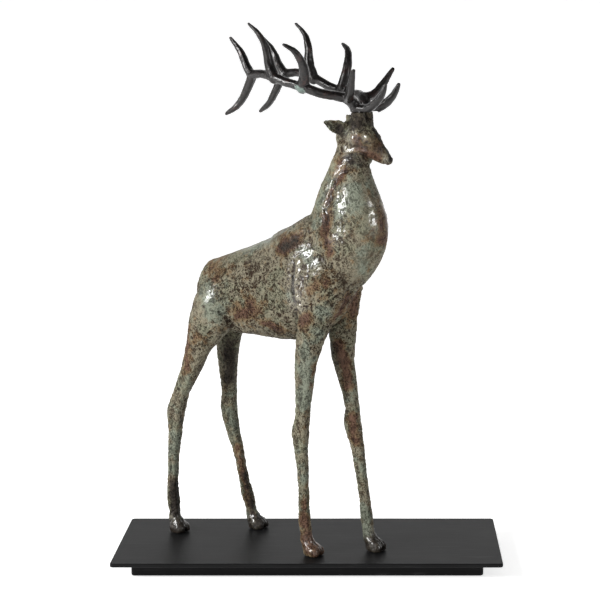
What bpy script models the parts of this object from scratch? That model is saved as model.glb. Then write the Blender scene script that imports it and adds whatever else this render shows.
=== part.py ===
"""A standing stag on a thin plate: the cast figure, its two antlers, the plate and the slab under it.

World frame, in metres: +Z up, +X along the plate, the origin at the centre of the slab's underside.
The figure is drawn in its own frame, in millimetres: forward, left and up from the hooves' soles.
Each limb is a list of stations along its middle line, (forward, left, up, depth, width). Depth is
the thickness seen from the side, across the limb, and width is the thickness seen from the front.
"""

import math

import bmesh
import bpy
import numpy as np
from mathutils import Euler, Matrix, Vector

MM = 0.001

# The stand: a thin plate on a smaller slab.
PLATE_LENGTH = 421 * MM
PLATE_DEPTH = 175 * MM
PLATE_THICK = 4.4 * MM
PLATE_EDGE = 1.1 * MM
SLAB_INSET = 20 * MM
SLAB_THICK = 15.3 * MM
SLAB_EDGE = 2 * MM
CORNER_ROUND = 4 * MM
GAP = 0.3 * MM
PLATE_TOP = SLAB_THICK + GAP + PLATE_THICK

# Where the figure stands on the plate, and how far it is turned from the plate's length.
# Its heights are counted from the top of the hooves' 2 mm soles.
SOLE_THICK = 2 * MM
STAND_X = -34 * MM
STAND_Y = -2.5 * MM
TURN = math.radians(-30)
FIGURE_BASE = PLATE_TOP + SOLE_THICK

# The antlers sit on the head at this height, in the figure's millimetres.
BURR_HEIGHT = 477
BURR_BLOCK = 24 * MM
RIGHT, LEFT = -1, 1

TRUNK = [
    (-74.5, 0, 275.5, 76, 52),
    (-66, 0, 275, 82.5, 57),
    (-54, 0, 275, 89, 60),
    (-30, 0, 277.5, 98, 62),
    (-5, 0, 281.5, 109, 64),
    (20, 0, 287, 118, 67),
    (42, 0, 299, 118, 70),
    (56, 0, 308, 109, 68),
    (65, 0, 314, 96, 62),
]
WITHERS = [
    (14, 0, 325.5, 42, 54),
    (28, 0, 332, 44, 56),
    (42, 0, 339.3, 44.5, 56),
    (53.7, 0, 346.4, 44.5, 53),
]
MANE = [
    (62, 0, 282.5, 34, 42),
    (72.5, 0, 295.5, 46, 51),
    (86, 0, 312, 57, 59),
    (94, 0, 328, 67, 63),
    (98, 0, 344, 74, 64),
    (101, 0, 361, 70, 60),
    (101, 0, 378, 60, 54),
    (100.5, 0, 395, 47.5, 46),
    (100.5, 0, 411, 34.5, 36),
    (102, 0, 423, 27.5, 28),
]
NAPE = [
    (64, 0, 322, 32, 46),
    (66.5, 0, 350, 34, 47),
    (71, 0, 376, 35, 44),
    (78, 0, 396, 33.5, 38),
    (85, 0, 413, 31, 33),
    (91.5, 0, 430, 29, 29),
    (97.5, 0, 447, 29, 27),
]
NECK = [
    (78, 0, 332, 70, 58),
    (83, 0, 360, 72, 52),
    (88, 0, 386, 56, 44),
    (94, 0, 409, 42, 35),
    (99, 0, 425, 32, 28),
]
HEAD = [
    (91, 0, 449, 32, 25),
    (101, 0, 451.5, 41, 29),
    (113.5, 0, 446.5, 33, 29),
    (122, 0, 440, 25.5, 21),
    (129, 0, 434.5, 20, 15),
    (136, 0, 430, 15, 13),
    (140, 0, 427.5, 10.5, 11.5),
]
PEDICLE = [
    (107, 7.5, 455, 21, 17),
    (108.5, 8.6, 470, 15.5, 14.5),
    (108.5, 9, 480, 15, 14.5),
]
EAR = [
    (98, 11, 458.5, 10, 8),
    (92, 14, 460, 15, 7),
    (86, 17.5, 462, 15.5, 5.5),
    (80.5, 21, 464.5, 11, 4.5),
    (75.5, 24, 467.5, 4.5, 3),
]
# The left ear stands a little higher, by this much more at each station.
LEFT_EAR_LIFT = 1.2
TAIL = [
    (-83.5, 0, 297, 12, 13),
    (-90.5, 0, 287, 12, 14),
    (-96, 0, 274, 10, 13),
    (-98.5, 0, 260, 5, 8),
]

# Thickness of a foreleg and a hind leg at each named station, as (depth, width).
FORE_GIRTHS = {
    "blade": (44, 22),
    "shoulder": (60, 33),
    "arm": (48, 35),
    "elbow": (33, 28),
    "forearm": (25.5, 21),
    "forearm_low": (18.5, 16.5),
    "above_knee": (16, 15),
    "knee": (19.5, 17),
    "below_knee": (14.5, 14),
    "cannon": (12, 12),
    "cannon_low": (12, 11.5),
    "fetlock": (13, 13),
    "pastern": (12, 12.5),
}
HIND_GIRTHS = {
    "hip": (42.5, 26),
    "thigh": (53.5, 38.5),
    "stifle": (47, 36),
    "gaskin": (30, 26),
    "gaskin_mid": (24, 20),
    "gaskin_low": (18.5, 16.5),
    "hock": (21, 17.5),
    "below_hock": (15.5, 14.5),
    "cannon": (12.5, 12.5),
    "cannon_low": (12, 12),
    "fetlock": (14.5, 13.5),
    "pastern": (12, 12.5),
}
# Where those stations lie on each leg, as (forward, left, up), and the middle of the hoof's sole.
# The left hind leg is a little slimmer than its fellow.
LEGS = {
    "right_fore": {
        "blade": (66, -15, 326),
        "shoulder": (71, -20.5, 300),
        "arm": (65.5, -20.5, 270),
        "elbow": (57, -20, 240),
        "forearm": (50.3, -21, 209),
        "forearm_low": (48.3, -21.9, 174),
        "above_knee": (46.3, -22.6, 148),
        "knee": (44.3, -23.1, 131),
        "below_knee": (45.7, -23.6, 110),
        "cannon": (48.5, -24.5, 80),
        "cannon_low": (49.6, -25.2, 50),
        "fetlock": (51, -25.8, 30),
        "pastern": (54, -26.2, 17),
        "sole": (62, -26.6),
    },
    "left_fore": {
        "blade": (60, 15, 326),
        "shoulder": (64, 20.5, 300),
        "arm": (67.5, 20.5, 270),
        "elbow": (70.5, 21.5, 240),
        "forearm": (71.5, 22, 208),
        "forearm_low": (78.3, 22.2, 178),
        "above_knee": (82.6, 22.2, 154),
        "knee": (82.8, 22.3, 137),
        "below_knee": (89, 22.4, 112),
        "cannon": (93.6, 22.5, 81),
        "cannon_low": (98, 22.7, 52),
        "fetlock": (100.4, 22.7, 31),
        "pastern": (103.5, 22.8, 17),
        "sole": (111, 22.8),
    },
    "right_hind": {
        "hip": (-66, -12, 291),
        "thigh": (-67.2, -17.5, 265),
        "stifle": (-78.3, -20, 239),
        "gaskin": (-90, -22, 214),
        "gaskin_mid": (-99, -22.5, 190),
        "gaskin_low": (-113, -23.1, 161),
        "hock": (-120.8, -23.6, 139),
        "below_hock": (-122.8, -24.2, 112),
        "cannon": (-125, -25, 82),
        "cannon_low": (-126, -25.5, 56),
        "fetlock": (-125, -26, 30),
        "pastern": (-123, -26.3, 16),
        "sole": (-117.5, -26.7),
    },
    "left_hind": {
        "hip": (-67, 12, 291),
        "thigh": (-69, 17.5, 265),
        "stifle": (-80, 20, 236),
        "gaskin": (-81, 22, 210),
        "gaskin_mid": (-82, 23.1, 186),
        "gaskin_low": (-81.8, 24.6, 155),
        "hock": (-82.8, 25.4, 134),
        "below_hock": (-78.3, 26.5, 109),
        "cannon": (-71, 27.8, 81),
        "cannon_low": (-66.3, 29, 55),
        "fetlock": (-60.8, 30.1, 31),
        "pastern": (-56.5, 30.8, 17),
        "sole": (-49, 31.5),
        "fullness": 0.94,
    },
}

# A hoof is two toes side by side, each a long low egg, with two dewclaws behind.
TOE_RADII = (11, 5.4, 9.5)
TOE_SPREAD = 4.6
TOE_SPLAY = math.radians(6)
TOE_PITCH = math.radians(24)
TOE_HEIGHT = 2.5

# One antler, for the left side. A branch is (forward, left, up, thickness) along its middle line.
ANTLER = {
    "beam": [
        (108.4, 9.3, 471, 15.5),
        (107, 10.5, 482, 13.5),
        (101.5, 15, 490, 12),
        (91, 24, 494.2, 10.5),
        (79, 33, 496.4, 10.4),
        (66, 38.5, 501.3, 10.2),
        (46, 39.5, 506.2, 9.8),
        (25, 38.5, 512, 10.3),
        (6, 35.5, 515.8, 9.4),
        (-9, 32, 515.6, 10.3),
        (-15.5, 31, 524, 9.5),
        (-22, 31, 537.5, 8),
        (-35, 31.4, 553.2, 3.6),
    ],
    "lower_fork": [
        (-7, 31, 514, 11),
        (-14.5, 29, 502, 9.6),
        (-21.5, 29, 489.5, 8.5),
        (-29, 30.5, 480.5, 7.5),
        (-41, 32.5, 472.5, 4.5),
    ],
    "brow_tine": [
        (106, 11, 481.5, 10),
        (118, 11, 480.2, 10.5),
        (131, 12, 486.5, 9.5),
        (139, 13, 495, 8),
        (144.6, 13.5, 505.5, 4.6),
    ],
    "bez_tine": [
        (101, 15.5, 490.5, 11),
        (108, 24.5, 494.2, 9.6),
        (115.5, 33.5, 506, 8.5),
        (122.3, 40.5, 520.5, 5),
    ],
    "middle_tine": [
        (59.5, 38.5, 502, 13),
        (64, 41, 515, 11.6),
        (63.5, 47, 530, 9),
        (58.8, 53.5, 540.5, 7),
        (49.3, 58.5, 546.5, 3.6),
    ],
    "royal_tine": [
        (25, 38, 511, 12.8),
        (19.3, 38.5, 524, 11.6),
        (17, 41, 541, 9),
        (10.8, 44, 556, 6.5),
        (-2.2, 45.5, 568, 3.6),
    ],
}
# The pair is hand-made: the left beam dips a little more, between its bez and its middle tine.
LEFT_DIP = 11.5
DIP_MIDDLE = 45
DIP_REACH = 28

# Mesh fineness: the forms are drawn fine, made one skin, and then thinned to few faces.
RING_SIDES = 32
RING_STEP = 4
FIGURE_VOXEL = 1.7 * MM
FIGURE_SHARE = 0.0455
ANTLER_VOXEL = 1.1 * MM
ANTLER_SHARE = 0.043


def clear_scene():
    for old in list(bpy.data.objects):
        bpy.data.objects.remove(old, do_unlink=True)


def new_collection(name, hidden=False):
    made = bpy.data.collections.new(name)
    made.hide_render = hidden
    bpy.context.scene.collection.children.link(made)
    return made


def material(name, colour, roughness, metallic):
    made = bpy.data.materials.new(name)
    made.use_nodes = True
    shader = made.node_tree.nodes["Principled BSDF"]
    shader.inputs["Base Color"].default_value = (*colour, 1)
    shader.inputs["Roughness"].default_value = roughness
    shader.inputs["Metallic"].default_value = metallic
    return made


def figure_matrix():
    """Takes the figure's millimetres to the world's metres."""
    return (
        Matrix.Translation((STAND_X, STAND_Y, FIGURE_BASE))
        @ Matrix.Rotation(TURN, 4, "Z")
        @ Matrix.Scale(MM, 4)
    )


def smooth_rows(stations, step):
    """Rows at even steps on the smooth curve through the stations. Every column follows the same curve."""
    rows = np.array(stations, float)
    spans = np.linalg.norm(np.diff(rows[:, :3], axis=0), axis=1)
    along = np.concatenate([[0], np.cumsum(spans)])
    slopes = np.gradient(rows, along, axis=0)
    count = max(3, round(along[-1] / step) + 1)
    out = []
    for distance in np.linspace(0, along[-1], count):
        i = min(np.searchsorted(along, distance, side="right") - 1, len(spans) - 1)
        t = (distance - along[i]) / spans[i]
        out.append(
            (2 * t**3 - 3 * t**2 + 1) * rows[i]
            + (t**3 - 2 * t**2 + t) * spans[i] * slopes[i]
            + (3 * t**2 - 2 * t**3) * rows[i + 1]
            + (t**3 - t**2) * spans[i] * slopes[i + 1]
        )
    return np.array(out)


def round_ends(rows):
    """Adds shrinking rows beyond each end, so that the limb ends in a dome."""
    domes = []
    for end, inner in ((rows[0], rows[1]), (rows[-1], rows[-2])):
        outward = end[:3] - inner[:3]
        outward /= np.linalg.norm(outward)
        radius = min(end[3:]) / 2
        dome = []
        for angle in np.radians((30, 55, 78)):
            place = end[:3] + outward * radius * math.sin(angle)
            dome.append([*place, *(end[3:] * math.cos(angle))])
        domes.append(dome)
    return np.array([*reversed(domes[0]), *rows, *domes[1]])


def add_limb(mesh, stations, side=1):
    """Adds a limb: an oval ring across each row, skinned and capped. Side -1 puts a left form on the right."""
    rows = round_ends(smooth_rows(stations, RING_STEP))
    rows[:, 1] *= side
    tangents = np.gradient(rows[:, :3], axis=0)
    rings = []
    for row, tangent in zip(rows, tangents):
        along = Vector(tangent).normalized()
        lateral = Vector((0, 1, 0))
        lateral = (lateral - along * lateral.dot(along)).normalized()
        across = along.cross(lateral)
        middle = Vector(row[:3])
        ring = []
        for k in range(RING_SIDES):
            angle = math.tau * k / RING_SIDES
            offset = across * math.cos(angle) * row[3] / 2 + lateral * math.sin(angle) * row[4] / 2
            ring.append(mesh.verts.new(middle + offset))
        rings.append(ring)
    faces = [mesh.faces.new(reversed(rings[0])), mesh.faces.new(rings[-1])]
    for near, far in zip(rings, rings[1:]):
        for k in range(RING_SIDES):
            n = (k + 1) % RING_SIDES
            faces.append(mesh.faces.new((near[k], near[n], far[n], far[k])))
    bmesh.ops.recalc_face_normals(mesh, faces=faces)


def add_lump(mesh, centre, radii, turn=(0, 0, 0)):
    """Adds an egg: a sphere stretched to three radii and turned."""
    place = (
        Matrix.Translation(centre)
        @ Euler(turn).to_matrix().to_4x4()
        @ Matrix.Diagonal((*radii, 1))
    )
    bmesh.ops.create_uvsphere(mesh, u_segments=20, v_segments=12, radius=1, matrix=place)


def add_hoof(mesh, pastern, sole):
    """Two toes that point forward and splay a little, joined to the pastern, and two dewclaws."""
    forward, left = sole
    for side in (RIGHT, LEFT):
        centre = (forward, left + side * TOE_SPREAD, TOE_HEIGHT)
        add_lump(mesh, centre, TOE_RADII, (0, TOE_PITCH, side * TOE_SPLAY))
        claw = (pastern[0] - 5.5, left + side * 3.5, pastern[2] - 1)
        add_lump(mesh, claw, (2.6, 2.4, 3.4))
    heel = (pastern[0] + 1.5, pastern[1], pastern[2] - 7)
    add_lump(mesh, heel, (8, 7.5, 9))


def add_leg(mesh, places, girths):
    fullness = places.get("fullness", 1)
    stations = [(*places[name], *(size * fullness for size in girths[name])) for name in girths]
    add_limb(mesh, stations)
    add_hoof(mesh, places["pastern"], places["sole"])


def add_head(mesh):
    add_limb(mesh, HEAD)
    for side in (RIGHT, LEFT):
        add_limb(mesh, PEDICLE, side)
        lift = LEFT_EAR_LIFT if side == LEFT else 0
        ear = [(*row[:2], row[2] + lift * i, *row[3:]) for i, row in enumerate(EAR)]
        add_limb(mesh, ear, side)
        brow = (115, side * 10, 452.5)
        add_lump(mesh, brow, (7, 4, 3.6), (0, math.radians(38), 0))
        cheek = (103, side * 9, 441)
        add_lump(mesh, cheek, (13, 6, 10.5), (0, math.radians(12), 0))


def finish_figure(mesh, name, voxel, share, looks, collection):
    """Makes the overlapping forms one closed skin with few faces, placed on the plate."""
    mesh.transform(figure_matrix())
    data = bpy.data.meshes.new(name)
    mesh.to_mesh(data)
    mesh.free()
    made = bpy.data.objects.new(name, data)
    collection.objects.link(made)
    data.materials.append(looks)
    skin = made.modifiers.new("one_skin", "REMESH")
    skin.mode = "VOXEL"
    skin.voxel_size = voxel
    soften = made.modifiers.new("soften", "SMOOTH")
    soften.factor = 0.5
    soften.iterations = 4
    thin = made.modifiers.new("thin_out", "DECIMATE")
    thin.ratio = share
    return made


def trim_block(name, centre, width, low, high, collection):
    """A square block between two heights, in metres."""
    bpy.ops.mesh.primitive_cube_add(size=1, location=(centre.x, centre.y, (low + high) / 2))
    block = bpy.context.active_object
    block.name = name
    block.scale = (width, width, high - low)
    bpy.ops.object.transform_apply(location=False, rotation=False, scale=True)
    for owner in list(block.users_collection):
        owner.objects.unlink(block)
    collection.objects.link(block)
    block.hide_render = True
    block.display_type = "WIRE"
    return block


def trim(made, block, operation):
    cut = made.modifiers.new("flat_end", "BOOLEAN")
    cut.operation = operation
    cut.object = block


def stag(looks, collection):
    mesh = bmesh.new()
    for stations in (TRUNK, WITHERS, MANE, NAPE, NECK, TAIL):
        add_limb(mesh, stations)
    for name, places in LEGS.items():
        add_leg(mesh, places, FORE_GIRTHS if name.endswith("fore") else HIND_GIRTHS)
    add_head(mesh)
    return finish_figure(mesh, "stag", FIGURE_VOXEL, FIGURE_SHARE, looks, collection)


def dipped(row):
    """Lowers a station near the dip of the left beam. Points high on a tine stay where they are."""
    forward, left, up, depth, width = row
    near = math.exp(-(((forward - DIP_MIDDLE) / DIP_REACH) ** 2))
    low = math.exp(-max(0, up - 500) / 10)
    return (forward, left, up - LEFT_DIP * near * low, depth, width)


def antler(name, side, looks, collection):
    """A beam with its tines and end fork, round in section all along."""
    mesh = bmesh.new()
    for branch in ANTLER.values():
        rows = [(*row, row[3]) for row in branch]
        if side == LEFT:
            rows = [dipped(row) for row in rows]
        add_limb(mesh, rows, side)
    return finish_figure(mesh, name, ANTLER_VOXEL, ANTLER_SHARE, looks, collection)


def board(name, size, bottom, edge, looks, collection):
    """A flat board, its corners rounded in plan and its edges softened, its underside at the given height."""
    bpy.ops.mesh.primitive_cube_add(size=1, location=(0, 0, bottom + size[2] / 2))
    made = bpy.context.active_object
    made.name = name
    made.scale = size
    bpy.ops.object.transform_apply(location=False, rotation=False, scale=True)
    for owner in list(made.users_collection):
        owner.objects.unlink(made)
    collection.objects.link(made)
    made.data.materials.append(looks)
    mesh = bmesh.new()
    mesh.from_mesh(made.data)
    upright = [e for e in mesh.edges if abs(e.verts[0].co.z - e.verts[1].co.z) > size[2] / 2]
    bmesh.ops.bevel(mesh, geom=upright, offset=CORNER_ROUND, segments=4, profile=0.5, affect="EDGES")
    mesh.to_mesh(made.data)
    mesh.free()
    rounding = made.modifiers.new("soft_edges", "BEVEL")
    rounding.width = edge
    rounding.segments = 3
    rounding.limit_method = "ANGLE"
    rounding.angle_limit = math.radians(50)
    return made


def main():
    clear_scene()
    parts = new_collection("stag_sculpture")
    cutters = new_collection("cutters", hidden=True)
    patina = material("verdigris_bronze", (0.19, 0.18, 0.13), 0.42, 0.6)
    dark_metal = material("dark_brown_metal", (0.045, 0.035, 0.032), 0.35, 0.7)
    plate_paint = material("satin_black_metal", (0.024, 0.024, 0.025), 0.45, 0.2)
    slab_paint = material("satin_black_board", (0.018, 0.018, 0.019), 0.5, 0.0)

    plate_size = (PLATE_LENGTH, PLATE_DEPTH, PLATE_THICK)
    slab_size = (PLATE_LENGTH - 2 * SLAB_INSET, PLATE_DEPTH - 2 * SLAB_INSET, SLAB_THICK)
    board("base_slab", slab_size, 0, SLAB_EDGE, slab_paint, parts)
    board("base_plate", plate_size, SLAB_THICK + GAP, PLATE_EDGE, plate_paint, parts)

    burr = FIGURE_BASE + BURR_HEIGHT * MM
    whole = trim_block("sole_to_burr", Vector(), 1, PLATE_TOP + GAP, burr, cutters)
    trim(stag(patina, parts), whole, "INTERSECT")
    for name, side in (("antler_left", LEFT), ("antler_right", RIGHT)):
        forward, left, up, _ = ANTLER["beam"][0]
        foot = figure_matrix() @ Vector((forward, side * left, up))
        block = trim_block(name + "_foot", foot, BURR_BLOCK, burr - BURR_BLOCK, burr + GAP, cutters)
        trim(antler(name, side, dark_metal, parts), block, "DIFFERENCE")


main()
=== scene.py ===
# %% [markdown]
# # A standing stag in patinated bronze
# The real piece is a cast bronze stag, rough all over from the sculptor's fingers, with two smoother, darker
# antlers. It stands on a thin black plate over a smaller slab. The solids are measured and fixed, so this lesson
# loads them, works a finer skin over each casting, and gives every surface its finish.

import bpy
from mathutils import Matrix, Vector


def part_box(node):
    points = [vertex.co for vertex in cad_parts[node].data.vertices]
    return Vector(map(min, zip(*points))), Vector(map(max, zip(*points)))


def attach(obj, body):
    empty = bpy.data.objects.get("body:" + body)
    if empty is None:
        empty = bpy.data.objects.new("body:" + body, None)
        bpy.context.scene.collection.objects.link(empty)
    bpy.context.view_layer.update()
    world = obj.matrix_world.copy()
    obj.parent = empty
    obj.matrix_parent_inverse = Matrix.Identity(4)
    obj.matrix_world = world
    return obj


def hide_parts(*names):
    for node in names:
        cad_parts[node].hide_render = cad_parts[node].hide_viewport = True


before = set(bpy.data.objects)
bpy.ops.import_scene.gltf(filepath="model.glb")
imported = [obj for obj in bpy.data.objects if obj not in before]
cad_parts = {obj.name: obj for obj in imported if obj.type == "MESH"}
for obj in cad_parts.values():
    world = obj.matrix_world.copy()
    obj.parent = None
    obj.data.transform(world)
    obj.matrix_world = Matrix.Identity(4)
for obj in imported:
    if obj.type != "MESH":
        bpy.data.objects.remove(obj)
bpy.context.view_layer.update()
print("solids:", sorted(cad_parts))

# %% [markdown]
# ## The figure's own measure
# The stag stands at an angle on its plate. It is far easier to say "the eye is 120 mm forward and 448 mm up" in
# the stag's own directions than in the room's, so one matrix takes the stag's millimetres to the room's metres.

# %% The figure's frame
import math

import bpy
import numpy as np
from mathutils import Matrix, Vector

MM = 0.001
SOLE_THICK = 2 * MM
FIGURE_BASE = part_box("base_plate")[1].z + SOLE_THICK
STAND = Vector((-34 * MM, -2.5 * MM, FIGURE_BASE))
TURN_DEGREES = -30
TURN = Matrix.Rotation(math.radians(TURN_DEGREES), 3, "Z")
TURN_ROWS = np.array(TURN)
RIGHT, LEFT = -1, 1


def place(forward, left, up):
    """A point of the stag, in its own millimetres, as a place in the room."""
    return STAND + TURN @ Vector((forward, left, up)) * MM


print("the nose is at", [round(v, 3) for v in place(140, 0, 428)])

# %% [markdown]
# ## The camera
# The view is set first, because every later choice is judged through it. A long lens at the antlers' height looks
# down nine degrees. The camera isn't turned towards the stag: a sideways shift brings it into the frame, and that
# keeps the plate's long edges level.

# %% Set the camera
DOWN_DEGREES = 9.005
camera_data = bpy.data.cameras.new("view")
camera = bpy.data.objects.new("view", camera_data)
bpy.context.scene.collection.objects.link(camera)
camera.location = (0.0792, -1.8866, 0.5899)
camera.rotation_euler = (math.radians(90 - DOWN_DEGREES), 0, 0)
camera_data.lens = 104.88
camera_data.sensor_width = 36
camera_data.shift_x = -0.1342
camera_data.shift_y = 0.0008
bpy.context.scene.camera = camera
print("camera set")

# %% [markdown]
# ## Reading and moving a skin
# A sculptor's touches are small pushes along the surface. The mesh is read as arrays of points and outward
# directions in the stag's own frame, pushed, and written back. Arrays make this quick on a hundred thousand
# points.


# %% Read and write a skin
def select_only(piece):
    bpy.ops.object.select_all(action="DESELECT")
    piece.select_set(True)
    bpy.context.view_layer.objects.active = piece


def read_skin(piece):
    """Points in the stag's millimetres, and outward directions along the stag's axes."""
    count = len(piece.data.vertices)
    points = np.empty(count * 3)
    normals = np.empty(count * 3)
    piece.data.vertices.foreach_get("co", points)
    piece.data.vertices.foreach_get("normal", normals)
    points = (points.reshape(-1, 3) - np.array(STAND)) @ TURN_ROWS / MM
    return points, normals.reshape(-1, 3) @ TURN_ROWS


def write_skin(piece, points):
    room = points * MM @ TURN_ROWS.T + np.array(STAND)
    piece.data.vertices.foreach_set("co", room.ravel())
    piece.data.update()


print("skins can be read and written")

# %% [markdown]
# ## A fresh skin over a solid
# Each casting starts from its solid, so it keeps the measured form. The solid's faces are welded and then
# re-skinned with even small faces, which is what a sculpting program does before detail goes on. A few rounds
# of smoothing melt the flat facets away.


# %% Re-skin a solid
def apply_modifiers(piece):
    select_only(piece)
    for modifier in list(piece.modifiers):
        bpy.ops.object.modifier_apply(modifier=modifier.name)


def clay_copy(node, name):
    """A copy of a solid, welded, ready to be worked."""
    piece = bpy.data.objects.new(name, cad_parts[node].data.copy())
    bpy.context.scene.collection.objects.link(piece)
    piece.data.materials.clear()
    select_only(piece)
    bpy.ops.object.mode_set(mode="EDIT")
    bpy.ops.mesh.select_all(action="SELECT")
    bpy.ops.mesh.remove_doubles(threshold=0.01 * MM)
    bpy.ops.object.mode_set(mode="OBJECT")
    return piece


def reskin(piece, voxel, rounds):
    skin = piece.modifiers.new("even_faces", "REMESH")
    skin.mode = "VOXEL"
    skin.voxel_size = voxel
    melt = piece.modifiers.new("melt_facets", "SMOOTH")
    melt.factor = 0.5
    melt.iterations = rounds
    apply_modifiers(piece)
    print(piece.name, len(piece.data.vertices), "points")


stag = clay_copy("stag", "cast_stag")
print("welded to", len(stag.data.vertices), "points")

# %% [markdown]
# ## Balls of clay
# Some forms are pressed on as balls of clay before the new skin closes over them and makes them part of the one
# casting: the two eyes, a round throat under the jaw, and in each hoof a web that joins its two toes.


# %% Press on the balls
def press_ball(piece, centre, size, tip=0, turn=0):
    """A ball with its three half widths in millimetres, tipped and turned in degrees, joined to the piece."""
    bpy.ops.mesh.primitive_uv_sphere_add(segments=24, ring_count=14, radius=MM, location=place(*centre))
    ball = bpy.context.active_object
    ball.scale = size
    ball.rotation_euler = (0, math.radians(tip), math.radians(turn + TURN_DEGREES))
    bpy.ops.object.transform_apply(location=True, rotation=True, scale=True)
    piece.select_set(True)
    bpy.context.view_layer.objects.active = piece
    bpy.ops.object.join()


EYE, THROAT = (119.5, 10.6, 448.3), (107, 0, 429)
SOLES = {
    "right_fore": (62, -26.6),
    "left_fore": (111, 22.8),
    "right_hind": (-117.5, -26.7),
    "left_hind": (-49, 31.5),
}
for side in (RIGHT, LEFT):
    press_ball(stag, (EYE[0], side * EYE[1], EYE[2]), size=(3.4, 2.4, 2.3), tip=24, turn=-14 * side)
press_ball(stag, THROAT, size=(12, 13.6, 9.5), tip=20)
for forward, left in SOLES.values():
    press_ball(stag, (forward + 2, left, 5.5), size=(8.5, 5.5, 6.2), tip=24)
reskin(stag, voxel=1.0 * MM, rounds=7)

# %% [markdown]
# ## Flat planes on the legs
# The legs are not round. They were cut with a knife into four flat planes, so a clear edge runs down each leg
# between its side and its front. Every point is pushed in or out by its angle round the leg's middle line.

# %% Plane the legs
LEG_LINES = {
    "right_fore": [
        (50.3, -21, 209), (48.3, -21.9, 174), (44.3, -23.1, 131), (45.7, -23.6, 110), (49.6, -25.2, 50),
        (54, -26.2, 17),
    ],
    "left_fore": [
        (71.5, 22, 208), (78.3, 22.2, 178), (82.8, 22.3, 137), (89, 22.4, 112), (98, 22.7, 52),
        (103.5, 22.8, 17),
    ],
    "right_hind": [
        (-90, -22, 214), (-113, -23.1, 161), (-120.8, -23.6, 139), (-122.8, -24.2, 112), (-126, -25.5, 56),
        (-123, -26.3, 16),
    ],
    "left_hind": [
        (-81, 22, 210), (-81.8, 24.6, 155), (-82.8, 25.4, 134), (-78.3, 26.5, 109), (-66.3, 29, 55),
        (-56.5, 30.8, 17),
    ],
}
LEG_REACH = 17
PLANE_SHARE = 0.085


def smooth_step(values, low, high):
    """0 below low, 1 above high, and smooth between."""
    t = np.clip((values - low) / (high - low), 0, 1)
    return t * t * (3 - 2 * t)


def plane_leg(piece, line):
    """Four corners are drawn out and four planes pressed in, and both fade at the hoof and the shoulder."""
    points, _ = read_skin(piece)
    forward, left, up = np.array(line[::-1], float).T
    off_forward = points[:, 0] - np.interp(points[:, 2], up, forward)
    off_left = points[:, 1] - np.interp(points[:, 2], up, left)
    radius = np.hypot(off_forward, off_left)
    near = (radius < LEG_REACH) * smooth_step(points[:, 2], 18, 34) * (1 - smooth_step(points[:, 2], 180, 212))
    share = -PLANE_SHARE * np.cos(4 * np.arctan2(off_left, off_forward)) * near
    points[:, 0] += off_forward * share
    points[:, 1] += off_left * share
    write_skin(piece, points)


for line in LEG_LINES.values():
    plane_leg(stag, line)
print("legs planed")

# %% [markdown]
# ## Strokes and dents
# Two hand tools do all the drawing. A stroke follows a line and presses a groove, or raises a ridge when its
# depth is negative. A dent does the same round one point. Lines are given as seen from the side, forward and
# up, and a side of the stag.


# %% The tools
def line_distance(points, line):
    """Distance from every point to the nearest part of a line of straight pieces."""
    line = np.array(line, float)
    best = np.linalg.norm(points - line[0], axis=1)
    for start, end in zip(line, line[1:]):
        span = end - start
        t = np.clip((points - start) @ span / (span @ span), 0, 1)
        best = np.minimum(best, np.linalg.norm(points - start - t[:, None] * span, axis=1))
    return best


def stroke(piece, line, width, depth, side, wander=0.0):
    """A groove along a line, or a ridge if its depth is negative. With wander the hand is less steady."""
    points, normals = read_skin(piece)
    seen = points[:, [0, 2]]
    slow, quick = seen @ (0.07, 0.19), seen @ (0.31, -0.43)
    sway = np.stack((np.sin(slow) + 0.5 * np.sin(quick), np.cos(1.3 * slow) + 0.5 * np.cos(0.8 * quick)), 1)
    near = np.exp(-((line_distance(seen + wander * sway, line) / width) ** 2))
    pressed = 1 - 0.25 * min(wander, 1) * (1 + np.sin(1.7 * slow + 2))
    facing = smooth_step(side * normals[:, 1], 0.0, 0.35) * (side * points[:, 1] > 1)
    write_skin(piece, points - normals * (depth * near * pressed * facing)[:, None])


def dent(piece, centre, size, depth):
    """A hollow round a point, or a lump if its depth is negative."""
    points, normals = read_skin(piece)
    near = np.exp(-(((points - centre) / size) ** 2).sum(axis=1))
    write_skin(piece, points - normals * (depth * near)[:, None])


print("tools ready")

# %% [markdown]
# ## Neck and shoulder
# A ragged crease runs down each side of the neck, where the full throat was laid over the nape. A thin lip of clay
# stands along its back edge and a row of soft lumps along its front. Another crease stands upright behind the
# shoulder. A row of wrung lumps climbs the shoulder in front of it, bolder towards its foot, and three short folds
# lie low on the breast.

# %% Draw the neck and shoulder
NECK_CREASE = [(98, 418), (91, 410), (86, 403), (82, 390), (80, 370), (81, 350), (83, 336)]
NECK_LIP = [(99, 434), (94.5, 425), (91.5, 416), (86, 410), (80.5, 401), (77.5, 386), (75.5, 370), (76, 350)]
NECK_LUMPS = [
    (90, 23, 394), (95, 26, 382), (97, 28, 372), (89, 28, 364), (96, 29, 354), (88, 29, 345), (94, 29, 338),
]
SHOULDER_LUMPS = [(49, 33, 316), (52, 34, 307), (49, 35, 298), (52, 35, 290), (48.5, 34, 281), (51, 34, 272)]
SHOULDER_CREASE = [(45, 316), (43.5, 290), (43.5, 262), (43, 242)]
SHOULDER_RIDGE = [(49, 300), (54, 318), (66, 334), (78, 344)]
STIFLE_FOLD = [(-52, 256), (-47, 246), (-42, 237)]
ELBOW_FOLD = [(76, 247), (92, 257), (108, 264)]
BELLY_RIDGE = [(-20, 262), (4, 256), (24, 262)]
BREAST_FOLDS = [((84, 287), (98, 301)), ((85, 281), (99, 293)), ((87, 275), (99, 285))]
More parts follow.
